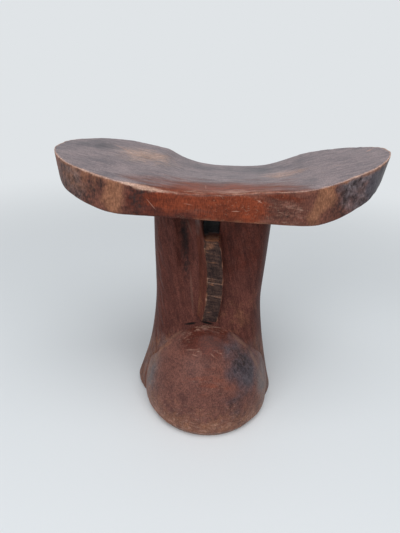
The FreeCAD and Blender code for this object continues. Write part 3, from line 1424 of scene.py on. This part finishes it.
@dataclass
class Rib(Member):
    """A rib up the middle of a face of the post, with a rough face full of cross cuts."""

    face_width: float = 10.5 * MM
    top_depth: float = 12.0 * MM
    foot_depth: float = 6.5 * MM
    flank_top: float = 9.0 * MM
    flank_foot: float = 6.2 * MM
    draft: float = 0.6 * MM
    top_offset: float = -0.6 * MM
    bow: float = 3.7 * MM
    foot_offset: float = -0.6 * MM
    root: float = 3.0 * MM
    shoulder_rise: float = 18.5 * MM
    beside_hole: Ramp = Ramp(6.2 * MM, 7.8 * MM)
    shoulder_power: float = 6.0
    side: float = -1.0
    foot_end: float = 80.5 * MM
    foot_turn: float = 3.0 * MM
    rows_up: int = 220
    rows_across: int = 28
    rows_deep: int = 16
    lip_round: float = 4.0 * MM
    lip_passes: int = 24
    front_face: Ramp = Ramp(0.74, 0.92)
    cut_slant: float = 0.1
    wide_cuts: Wave = Wave((11.0, 30.0, 1.7), 0.38, 0.6)
    fine_cuts: Wave = Wave((5.0, 30.0, 0.8), 0.28, 7.3)
    # Painted shade: darker in the cross cuts.
    cut_painted_shade: float = 0.85
    cut_share: float = 0.6
    in_cut: Ramp = Ramp(0.0, 0.3)
    # Painted highlight: paler on the ridges between the cuts.
    ridge_painted_highlight: float = 0.44
    on_ridge: Ramp = Ramp(0.12, 0.4)
    flank_work: Wave = Wave((4.0, 6.0, 14.0), 0.36, 2.8)
    edge_work: Wave = Wave((40.0, 40.0, 4.5), 0.45, 5.1)
    left_arris: float = 0.8 * MM
    right_arris: float = 0.5 * MM
    arris_depth: float = 1.6 * MM
    arris_bare: float = 0.26
    arris_worn: float = 0.3
    patches: Ramp = Ramp(-0.4, 0.3)
    pale_bands: tuple[float, ...] = (116.2 * MM, 112.8 * MM, 102.6 * MM)
    pale_band: float = 1.3 * MM
    band_bare: float = 0.42
    band_worn: float = 0.34
    out_of_cuts: Ramp = Ramp(-0.5, 0.1)
    lip_level: Ramp = Ramp(0.4, 0.8)
    lip_scored: float = 0.56
    # Painted light: the lip under the hole is paler, against the seat's shade.
    lip_painted_light: float = 0.66
    foot_end_from: float = 3.0 * MM
    # Painted shade: the underside of the rib's end, where it stands over the dome, is painted black.
    shaded_end_facing: float = -0.5

    def __post_init__(self) -> None:
        """Takes the rib's ends from the frame."""
        low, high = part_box(self.node)
        self.low = low.z
        self.high = high.z

    def middle(self, share: float) -> float:
        """Place of the rib's middle line, which bows to the right.

        Args:
            share: Share of the rib's height.

        Returns:
            The place across the post.
        """
        ends = self.foot_offset + (self.top_offset - self.foot_offset) * share
        half_way = (self.foot_offset + self.top_offset) / 2.0
        return ends + (self.bow - half_way) * 4.0 * share * (1.0 - share)

    def depth(self, share: float) -> float:
        """How far the rib stands out from the post at a share of its height."""
        return self.foot_depth + (self.top_depth - self.foot_depth) * share

    def shape(self) -> BMesh:
        """Models the rib from a cube: square on its right, sloped on its left.

        Returns:
            The rib with small even faces. Its left flank rises past the hole to the seat.
        """
        mesh = bmesh.new()
        bmesh.ops.create_cube(mesh, size=1.0)
        bmesh.ops.translate(mesh, verts=mesh.verts[:], vec=(0.0, 0.5, 0.5))
        for axis, cuts in enumerate((self.rows_across, self.rows_deep, self.rows_up)):
            bmesh.ops.subdivide_edges(mesh, edges=edges_along(mesh, axis), cuts=cuts, use_grid_fill=True)
        for vert in mesh.verts:
            across, deep, share = vert.co
            z = self.low + (self.high - self.low) * share
            depth = self.depth(share) * ease(self.foot_end - self.foot_turn, self.foot_end, z)
            flank = self.flank_foot + (self.flank_top - self.flank_foot) * share
            left = self.middle(share) - self.face_width / 2.0 - flank * (1.0 - deep)
            right = self.middle(share) + self.face_width / 2.0 + self.draft * (1.0 - deep)
            x = left + (right - left) * (across + 0.5)
            y = self.side * (self.post_face - self.root + (depth + self.root) * deep)
            shoulder = self.beside_hole.at(-x) * share ** self.shoulder_power
            vert.co = (x, y, z + self.shoulder_rise * shoulder)
        top = [vert for vert in mesh.verts if vert.co.z > self.high - self.lip_round]
        soften(mesh, [vert for vert in top if self.proud(vert.co) > self.lip_round], self.lip_passes)
        return mesh

    def front(self, normal: Vector) -> float:
        """Share by which a surface with this normal belongs to the rib's front face."""
        return self.front_face.at(normal.y * self.side)

    def slanted(self, place: Vector) -> Vector:
        """A place as the cross cuts see it, which run a little downhill."""
        return Vector((place.x, place.y, place.z + self.cut_slant * place.x))

    def relief(self, vert: BMVert) -> float:
        """Cross cuts on the front face, nibbled arrises and soft unevenness on the flanks.

        Args:
            vert: The vertex.

        Returns:
            How far it stands out.
        """
        front = self.front(vert.normal)
        place = self.slanted(vert.co)
        cuts = self.wide_cuts.at(place) + self.fine_cuts.at(place)
        nibbled = self.edge_work.at(vert.co) * ease(self.root, self.foot_depth, self.proud(vert.co))
        return self.flank_work.at(vert.co) + front * cuts + (1.0 - front) * nibbled

    def arris(self, place: Vector) -> float:
        """Share of the worn arrises at both sides of the front face, up to the lip.

        Args:
            place: Where to read it.

        Returns:
            The share.
        """
        share = (place.z - self.low) / (self.high - self.low)
        across = place.x - self.middle(share)
        width = self.left_arris if across < 0.0 else self.right_arris
        behind = bell(self.depth(share) - self.proud(place), self.arris_depth)
        below_lip = 1.0 - ease(self.high - self.root, self.high, place.z)
        return bell(self.face_width / 2.0 - abs(across), width) * behind * below_lip

    def stains(self, place: Vector, normal: Vector) -> dict[Stain, float]:
        """The scored front face with painted shade in its cuts and painted highlight on its ridges, pale
        bands, worn arrises and a lip painted paler as lit.

        Args:
            place: Where to read them.
            normal: The surface's normal there.

        Returns:
            A share for each stain. The underside of the end at the foot is painted black as shade.
        """
        front = self.front(normal)
        proud = self.proud(place)
        arris = self.arris(place)
        patchy = self.patches.at(self.edge_work.swing(place))
        slanted = self.slanted(place)
        ridge = self.cut_share * (self.wide_cuts.swing(slanted) + self.fine_cuts.swing(slanted))
        band = front * max(hump(slanted.z - height, self.pale_band) for height in self.pale_bands)
        lip = self.lip_level.at(normal.z) * ease(0.0, self.root, proud)
        foot_end = place.z < self.foot_end and proud > self.foot_end_from
        return {
            Stain.SCORED: max(front, self.lip_scored * lip),
            # Painted shade in the cross cuts.
            Stain.BURNT_AND_PAINTED_SHADE: self.cut_painted_shade * front * self.in_cut.at(-ridge),
            Stain.BARE_AND_PAINTED_LIGHT: max(
                arris * (self.arris_bare + self.arris_worn * patchy),
                # Painted light: the lip is paler.
                self.lip_painted_light * lip,
                # Painted highlight on the ridges between the cuts.
                self.ridge_painted_highlight * front * self.on_ridge.at(ridge),
                self.band_bare * band * self.out_of_cuts.at(ridge),
            ),
            Stain.WORN_AND_PAINTED_LIGHT: max(self.arris_worn * arris * patchy, self.band_worn * band),
            # Painted shade: black under the rib's end.
            Stain.SOOT_AND_PAINTED_SHADE: 1.0 if foot_end and normal.z < self.shaded_end_facing else 0.0,
        }


@dataclass(frozen=True)
class SoftLight:
    """A square soft light: where it hangs, its width and its power in watts."""

    name: str
    place: Size
    width: float
    power: float

    def hang(self, aim: Size) -> None:
        """Hangs the light.

        Args:
            aim: The place that it faces.
        """
        lamp = bpy.data.lights.new(self.name, "AREA")
        lamp.size = self.width
        lamp.energy = self.power
        piece = bpy.data.objects.new(self.name, lamp)
        piece.location = self.place
        piece.rotation_euler = (Vector(aim) - Vector(self.place)).to_track_quat("-Z", "Y").to_euler()
        bpy.context.scene.collection.objects.link(piece)


@dataclass
class Studio:
    """The floor, the soft lights and the camera."""

    floor_reach: float = 6.0
    floor_roughness: float = 0.6
    near_floor: float = 0.22
    far_floor: float = 0.8
    pale: Colour = tint(224, 228, 231)
    ambient: float = 0.42
    aim: Size = (0.0, 0.0, 0.1)
    lights: tuple[SoftLight, ...] = (
        SoftLight("overhead", (0.1, -0.35, 0.95), 0.8, 6.5),
        SoftLight("front", (-0.6, -1.25, 0.75), 1.0, 8.7),
    )
    lens_pixels: float = 390.0
    frame_height: float = 533.0
    nearest_seen: float = 10.0 * MM
    eye: Size = (5.654 * MM, -257.805 * MM, 237.356 * MM)
    yaw: float = 3.157
    pitch: float = 26.293
    roll: float = 2.499

    def build(self) -> None:
        """Sets up the floor, the lights and the camera."""
        self.floor()
        self.surround()
        for light in self.lights:
            light.hang(self.aim)
        self.camera()
        bpy.context.scene.view_settings.view_transform = "Standard"

    def seen(self, tree: bpy.types.NodeTree) -> Socket:
        """Tells the rays that show the surroundings from those that only light the rest.

        Args:
            tree: The nodes to add to.

        Returns:
            1 for a ray from the camera, a reflection or a view through glass, and 0 for others.
        """
        path = tree.nodes.new("ShaderNodeLightPath")
        result = path.outputs["Is Camera Ray"]
        for name in ("Is Glossy Ray", "Is Transmission Ray"):
            either = tree.nodes.new("ShaderNodeMath")
            either.operation = "MAXIMUM"
            tree.links.new(result, either.inputs[0])
            tree.links.new(path.outputs[name], either.inputs[1])
            result = either.outputs[0]
        return result

    def show(self, output: bpy.types.Node, share: Socket, first: Socket, second: Socket) -> None:
        """Shows a mix of two shaders.

        Args:
            output: The output node.
            share: Share of the second shader.
            first: The first shader.
            second: The second shader.
        """
        tree = output.id_data
        both = tree.nodes.new("ShaderNodeMixShader")
        for value, socket in zip((share, first, second), both.inputs):
            tree.links.new(value, socket)
        tree.links.new(both.outputs[0], output.inputs["Surface"])

    def floor(self) -> None:
        """Lays a pale floor, which takes shadows near the rest and fades out far from it."""
        mesh = bmesh.new()
        bmesh.ops.create_grid(mesh, x_segments=1, y_segments=1, size=self.floor_reach)
        floor = as_object("floor", mesh)
        shading = Shading("pale_floor")
        nodes = shading.tree.nodes
        shading.put(shading.shader.inputs["Base Color"], self.pale)
        shading.put(shading.shader.inputs["Roughness"], self.floor_roughness)
        away = nodes.new("ShaderNodeVectorMath")
        away.operation = "LENGTH"
        shading.put(away.inputs[0], shading.coords)
        far = shading.spread(away.outputs["Value"], (self.near_floor, self.far_floor), WHOLE)
        glow = nodes.new("ShaderNodeEmission")
        shading.put(glow.inputs["Color"], self.pale)
        share = shading.math("MULTIPLY", self.seen(shading.tree), far)
        self.show(nodes["Material Output"], share, shading.shader.outputs[0], glow.outputs[0])
        floor.data.materials.append(shading.material)

    def surround(self) -> None:
        """Surrounds the rest with even light, behind a pale backdrop."""
        world = bpy.data.worlds.new("studio")
        world.use_nodes = True
        nodes = world.node_tree.nodes
        lighting = nodes["Background"]
        lighting.inputs["Color"].default_value = self.pale
        lighting.inputs["Strength"].default_value = self.ambient
        backdrop = nodes.new("ShaderNodeBackground")
        backdrop.inputs["Color"].default_value = self.pale
        share = self.seen(world.node_tree)
        self.show(nodes["World Output"], share, lighting.outputs[0], backdrop.outputs[0])
        bpy.context.scene.world = world

    def camera(self) -> None:
        """Sets the camera where the view is taken from."""
        eye = bpy.data.cameras.new("camera")
        eye.lens = self.lens_pixels / self.frame_height * eye.sensor_width
        eye.clip_start = self.nearest_seen
        piece = bpy.data.objects.new("camera", eye)
        turned = (
            Matrix.Rotation(math.radians(self.yaw), 4, "Z")
            @ Matrix.Rotation(math.radians(90.0 - self.pitch), 4, "X")
            @ Matrix.Rotation(math.radians(self.roll), 4, "Z")
        )
        piece.matrix_world = Matrix.Translation(self.eye) @ turned
        bpy.context.scene.collection.objects.link(piece)
        bpy.context.scene.camera = piece


SEAT_SPOTS = (
    Spot(Stain.DUST, (-88.0, -32.0, 178.0), (26.0, 20.0, 24.0), 0.46, 0.4, Facing.SIDE),
    Spot(Stain.BURNT_AND_PAINTED_SHADE, (-83.0, -37.0, 180.0), (25.0, 20.0, 20.0), 0.47, 0.6, Facing.SIDE),
    Spot(Stain.BARE_AND_PAINTED_LIGHT, (-82.0, -37.0, 181.0), (26.0, 20.0, 18.0), 0.42, 0.3, Facing.SIDE),
    Spot(Stain.BARE_AND_PAINTED_LIGHT, (-59.0, -43.0, 172.0), (11.5, 12.0, 30.0), 1.0, 0.1, Facing.SIDE),
    Spot(Stain.OILED, (-40.0, -44.0, 171.0), (20.0, 9.0, 26.0), 0.75, 0.3, Facing.SIDE),
    Spot(Stain.BURNT_AND_PAINTED_SHADE, (-45.0, -44.0, 172.0), (9.0, 8.0, 22.0), 0.5, 0.2, Facing.SIDE),
    Spot(Stain.RUBBED, (10.0, -44.0, 169.0), (34.0, 9.0, 22.0), 0.9, 0.3, Facing.SIDE),
    Spot(Stain.RUBBED, (-22.0, -44.0, 172.5), (32.0, 9.0, 12.0), 0.9, 0.3, Facing.SIDE),
    Spot(Stain.RUBBED, (34.0, -44.0, 178.5), (32.0, 9.0, 8.0), 0.6, 0.1, Facing.SIDE),
    Spot(Stain.OILED, (-22.0, -44.0, 162.0), (30.0, 9.0, 8.0), 0.95, 0.2),
    Spot(Stain.OILED, (42.0, -44.0, 169.0), (22.0, 9.0, 26.0), 0.2, 0.3, Facing.SIDE),
    Spot(Stain.BURNT_AND_PAINTED_SHADE, (44.0, -44.0, 168.0), (14.0, 8.0, 13.0), 0.3, 0.2, Facing.SIDE),
    Spot(Stain.WORN_AND_PAINTED_LIGHT, (44.0, -44.0, 170.0), (22.0, 9.0, 14.0), 0.3, 0.2, Facing.SIDE),
    Spot(Stain.BARE_AND_PAINTED_LIGHT, (62.0, -42.0, 178.0), (12.0, 12.0, 15.0), 0.95, 0.1, Facing.SIDE),
    Spot(Stain.BARE_AND_PAINTED_LIGHT, (58.0, -43.0, 167.0), (9.0, 12.0, 18.0), 0.9, 0.0, Facing.SIDE),
    Spot(Stain.BLOOM, (86.0, -34.0, 183.0), (26.0, 20.0, 24.0), 0.62, 0.4, Facing.SIDE),
    Spot(Stain.SMOKE_AND_PAINTED_SHADE, (84.0, -36.0, 182.0), (24.0, 18.0, 24.0), 0.46, 0.4, Facing.SIDE),
    Spot(Stain.BURNT_AND_PAINTED_SHADE, (80.0, -38.0, 180.0), (21.0, 17.0, 21.0), 0.44, 0.5, Facing.SIDE),
    Spot(Stain.SMOKE_AND_PAINTED_SHADE, (97.0, -26.0, 187.0), (14.0, 20.0, 22.0), 1.1, 0.4, Facing.SIDE),
    Spot(Stain.DUST, (-48.0, 12.0, 186.0), (46.0, 32.0, 18.0), 0.75, 0.0, Facing.UP),
    Spot(Stain.WORN_AND_PAINTED_LIGHT, (-48.0, 12.0, 186.0), (42.0, 30.0, 18.0), 0.58, 0.1, Facing.UP),
    Spot(Stain.WORN_AND_PAINTED_LIGHT, (42.0, 0.0, 182.0), (28.0, 16.0, 14.0), 0.54, 0.1, Facing.UP),
    Spot(Stain.SMOKE_AND_PAINTED_SHADE, (26.0, 22.0, 178.0), (38.0, 26.0, 14.0), 0.66, 0.1, Facing.UP),
    Spot(Stain.SMOKE_AND_PAINTED_SHADE, (-12.0, 26.0, 178.0), (34.0, 18.0, 14.0), 0.56, 0.1, Facing.UP),
    Spot(Stain.SMOKE_AND_PAINTED_SHADE, (-82.0, 16.0, 190.0), (32.0, 26.0, 14.0), 0.62, 0.1, Facing.UP),
    Spot(Stain.RUBBED, (-30.0, -26.0, 180.0), (40.0, 20.0, 14.0), 0.5, 0.1, Facing.UP),
    Spot(Stain.WORN_AND_PAINTED_LIGHT, (10.0, -40.0, 178.0), (46.0, 9.0, 10.0), 0.46, 0.2, Facing.UP),
    Spot(Stain.RUBBED, (10.0, 44.0, 168.0), (60.0, 9.0, 26.0), 0.8, 0.3, Facing.SIDE),
    Spot(Stain.BARE_AND_PAINTED_LIGHT, (74.0, 40.0, 178.0), (26.0, 16.0, 24.0), 0.7, 0.3, Facing.SIDE),
    Spot(Stain.BARE_AND_PAINTED_LIGHT, (-70.0, 40.0, 178.0), (24.0, 16.0, 24.0), 0.7, 0.3, Facing.SIDE),
    Spot(Stain.BURNT_AND_PAINTED_SHADE, (88.0, 30.0, 186.0), (22.0, 18.0, 18.0), 0.64, 0.3, Facing.SIDE),
    Spot(Stain.BURNT_AND_PAINTED_SHADE, (-58.0, 43.0, 176.0), (18.0, 9.0, 20.0), 0.6, 0.3, Facing.SIDE),
)
POST_SPOTS = (
    Spot(Stain.DUST, (-50.0, -10.0, 20.0), (14.0, 20.0, 32.0), 0.64, 0.0),
    Spot(Stain.DUST, (49.0, -10.0, 18.0), (14.0, 20.0, 32.0), 0.74, 0.0),
    Spot(Stain.DUST, (-36.0, -22.0, 50.0), (18.0, 16.0, 32.0), 0.6, 0.0),
    Spot(Stain.BARE_AND_PAINTED_LIGHT, (24.0, -18.0, 82.0), (36.0, 18.0, 46.0), 0.36, 0.0),
)
RIB_SPOTS = (
    Spot(Stain.BARE_AND_PAINTED_LIGHT, (-2.5, -31.5, 140.5), (6.0, 6.0, 5.5), 0.44, 0.3),
    Spot(Stain.DUST, (-12.0, -22.0, 152.0), (12.0, 16.0, 18.0), 0.52, 0.0),
    Spot(Stain.BARE_AND_PAINTED_LIGHT, (-10.0, -22.0, 98.0), (9.0, 10.0, 36.0), 0.64, 0.1),
)
FRONT_FOOT_SPOTS = (
    Spot(Stain.OILED, (0.0, -33.0, 68.0), (33.0, 25.0, 24.0), 1.0, 0.1),
    Spot(Stain.WORN_AND_PAINTED_LIGHT, (-15.0, -28.0, 68.0), (18.0, 12.0, 11.0), 0.3, 0.0),
    Spot(Stain.WORN_AND_PAINTED_LIGHT, (-7.0, -39.0, 62.0), (12.0, 9.0, 7.0), 0.29, 0.0),
    Spot(Stain.WORN_AND_PAINTED_LIGHT, (9.0, -38.5, 63.0), (11.0, 9.0, 9.0), 0.29, 0.0),
    Spot(Stain.RUBBED, (3.0, -49.0, 44.0), (30.0, 20.0, 24.0), 0.42, 0.0),
    Spot(Stain.SMOKE_AND_PAINTED_SHADE, (20.0, -33.0, 61.0), (25.0, 25.0, 23.0), 0.62, 0.0),
    Spot(Stain.SMOKE_AND_PAINTED_SHADE, (29.0, -37.0, 49.0), (29.0, 30.0, 36.0), 0.9, 0.0),
    Spot(Stain.SMOKE_AND_PAINTED_SHADE, (22.0, -49.0, 33.0), (21.0, 21.0, 28.0), 0.5, 0.0),
    Spot(Stain.SMOKE_AND_PAINTED_SHADE, (25.0, -52.0, 20.0), (17.0, 16.0, 17.0), 0.5, 0.0),
    Spot(Stain.BURNT_AND_PAINTED_SHADE, (27.0, -35.0, 55.0), (20.0, 20.0, 24.0), 0.54, 0.0),
    Spot(Stain.BURNT_AND_PAINTED_SHADE, (24.0, -50.0, 27.0), (15.0, 15.0, 24.0), 0.42, 0.0),
    Spot(Stain.SMOKE_AND_PAINTED_SHADE, (-42.0, -30.0, 28.0), (18.0, 28.0, 40.0), 0.5, 0.0),
    Spot(Stain.DUST, (-43.0, -28.0, 38.0), (27.0, 30.0, 52.0), 0.7, 0.0),
    Spot(Stain.DUST, (46.0, -26.0, 28.0), (24.0, 32.0, 46.0), 0.74, 0.0),
)
REAR_FOOT_SPOTS = (
    Spot(Stain.OILED, (6.0, 33.0, 66.0), (28.0, 20.0, 20.0), 0.9, 0.3),
    Spot(Stain.RUBBED, (-6.0, 50.0, 40.0), (26.0, 18.0, 24.0), 0.45),
    Spot(Stain.SMOKE_AND_PAINTED_SHADE, (-31.0, 35.0, 45.0), (26.0, 28.0, 40.0), 0.75, 0.0),
    Spot(Stain.BURNT_AND_PAINTED_SHADE, (-31.0, 33.0, 52.0), (13.0, 14.0, 18.0), 0.4, 0.0),
    Spot(Stain.BLOOM, (40.0, 32.0, 38.0), (20.0, 28.0, 42.0), 0.56, 0.0),
)

TO_FRONT = (0.0, -1.0, 0.0)
TO_EYE = (0.0, -0.9, 0.44)
UPWARDS = (0.0, 0.0, 1.0)
SEAT_MARKS = (
    Mark((-39.2, -44.0, 173.2), (-32.4, -44.0, 165.2), 0.5, TO_FRONT, strength=0.5),
    Mark((9.8, -44.0, 167.8), (15.6, -44.0, 168.1), 0.6, TO_FRONT, strength=0.6),
    Mark((-18.0, -44.0, 171.0), (-11.0, -44.0, 170.0), 0.5, TO_FRONT, strength=0.35),
    Mark((24.0, -44.0, 175.4), (27.6, -44.0, 173.4), 0.9, TO_FRONT, strength=0.5),
    Mark((24.6, -44.0, 173.6), (26.4, -44.0, 175.6), 0.7, TO_FRONT, strength=0.45),
    Mark((36.0, -44.0, 169.2), (40.0, -44.0, 168.4), 0.6, TO_FRONT, strength=0.35),
    Mark((93.5, 6.5, 197.0), (100.5, 11.0, 199.5), 1.4, UPWARDS, strength=0.6),
    Mark((-6.0, -24.0, 178.0), (-5.0, -37.0, 178.0), 0.7, UPWARDS, strength=0.4),
    Mark((-77.0, 24.5, 190.0), (-56.0, 10.0, 187.0), 1.2, UPWARDS, strength=0.45),
)
ARCH = tint(140, 104, 86)
ARCH_MARKS = (
    Mark((15.0, -23.0, 71.0), (32.0, -24.0, 56.5), 3.0, TO_EYE, ARCH, 0.34, 8.0),
    Mark((30.0, -24.0, 59.5), (41.0, -26.0, 39.0), 3.0, TO_EYE, ARCH, 0.36, 8.0),
    Mark((39.5, -26.0, 43.0), (46.5, -25.0, 25.0), 2.4, TO_EYE, ARCH, 0.3, 8.0),
    Mark((-16.0, -23.0, 70.0), (-32.0, -24.0, 55.5), 3.0, TO_EYE, ARCH, 0.24, 8.0),
    Mark((-30.0, -24.0, 58.5), (-40.5, -26.0, 38.0), 3.0, TO_EYE, ARCH, 0.26, 8.0),
)
# Painted shadows in the slits under the rib and its flank, at the dome.
SLIT_SHADOW_MARKS = (
    Mark((-17.8, -21.0, 72.0), (-6.8, -22.0, 75.2), 2.4, TO_EYE, SLIT_SHADOW, 1.0, 12.0),
    Mark((-6.6, -23.0, 77.0), (5.8, -23.4, 75.2), 2.4, TO_EYE, SLIT_SHADOW, 1.0, 12.0),
)
# Painted highlight along the left edge of the rib's flank, where it catches the light.
RIDGE_HIGHLIGHT = tint(114, 86, 75)
RIDGE_HIGHLIGHT_MARKS = (
    Mark((-19.0, -20.0, 155.0), (-13.0, -22.5, 140.0), 2.4, TO_FRONT, RIDGE_HIGHLIGHT, 0.4, 8.0),
    Mark((-14.8, -20.0, 122.0), (-10.4, -20.0, 76.0), 2.4, TO_FRONT, RIDGE_HIGHLIGHT, 0.28, 6.0),
)
POST_MARKS = ARCH_MARKS + SLIT_SHADOW_MARKS + RIDGE_HIGHLIGHT_MARKS
RIB_MARKS = SLIT_SHADOW_MARKS + RIDGE_HIGHLIGHT_MARKS + (
    # Painted shadow in the corner at the foot of the rib's flank.
    Mark((-8.0, -24.3, 78.2), (-6.4, -24.3, 81.2), 2.2, TO_EYE, SLIT_SHADOW, 1.0, 8.0),
)
FOOT_MARKS = ARCH_MARKS + (
    Mark((-16.4, -36.4, 60.8), (-2.8, -38.6, 63.7), 0.6, TO_EYE, strength=0.35),
    Mark((-3.2, -38.4, 63.8), (-2.8, -41.9, 59.8), 0.6, TO_EYE, strength=0.3),
    Mark((-10.0, -40.1, 60.4), (-4.6, -41.6, 60.0), 1.0, TO_EYE, strength=0.3),
    Mark((3.0, -39.6, 62.8), (7.2, -41.6, 59.8), 1.0, TO_EYE, strength=0.3),
)

SEAT_WOOD = WoodFinish(
    "seat_wood", tint(112, 69, 57), tint(78, 46, 38), Fibre.ALONG_SEAT, 0.5, 0.3,
    gloss=0.16, pores=(0.6, 0.6, 2.0), marks=SEAT_MARKS,
)
POST_WOOD = WoodFinish(
    "post_wood", tint(98, 57, 49), tint(66, 36, 32), Fibre.UPRIGHT, 0.52, 0.5,
    scratched=0.08, marks=POST_MARKS,
)
RIB_WOOD = WoodFinish(
    "rib_wood", tint(102, 58, 47), tint(70, 38, 31), Fibre.UPRIGHT, 0.52, 0.5,
    scratched=0.08, marks=RIB_MARKS,
)
FOOT_WOOD = WoodFinish(
    "foot_wood", tint(114, 73, 63), tint(81, 50, 45), Fibre.ROUND_DOME, 0.44, 0.3,
    gloss=0.15, marks=FOOT_MARKS,
)


def main() -> None:
    """Builds the members in order, then the studio."""
    logging.basicConfig(level=logging.INFO, format="%(name)s: %(message)s")
    members: list[Member] = [
        Seat("seat", SEAT_WOOD, SEAT_SPOTS),
        Post("post", POST_WOOD, POST_SPOTS),
        Foot("front_foot", FOOT_WOOD, FRONT_FOOT_SPOTS),
        Foot("rear_foot", FOOT_WOOD, REAR_FOOT_SPOTS, side=1.0),
        Rib("front_rib", RIB_WOOD, RIB_SPOTS),
        Rib("rear_rib", RIB_WOOD, side=1.0),
    ]
    materials: dict[str, bpy.types.Material] = {}
    for member in members:
        slot = member.finish.slot
        if slot not in materials:
            materials[slot] = member.finish.material()
        member.build(materials[slot])
    Studio().build()


if __name__ == "__main__":
    main()
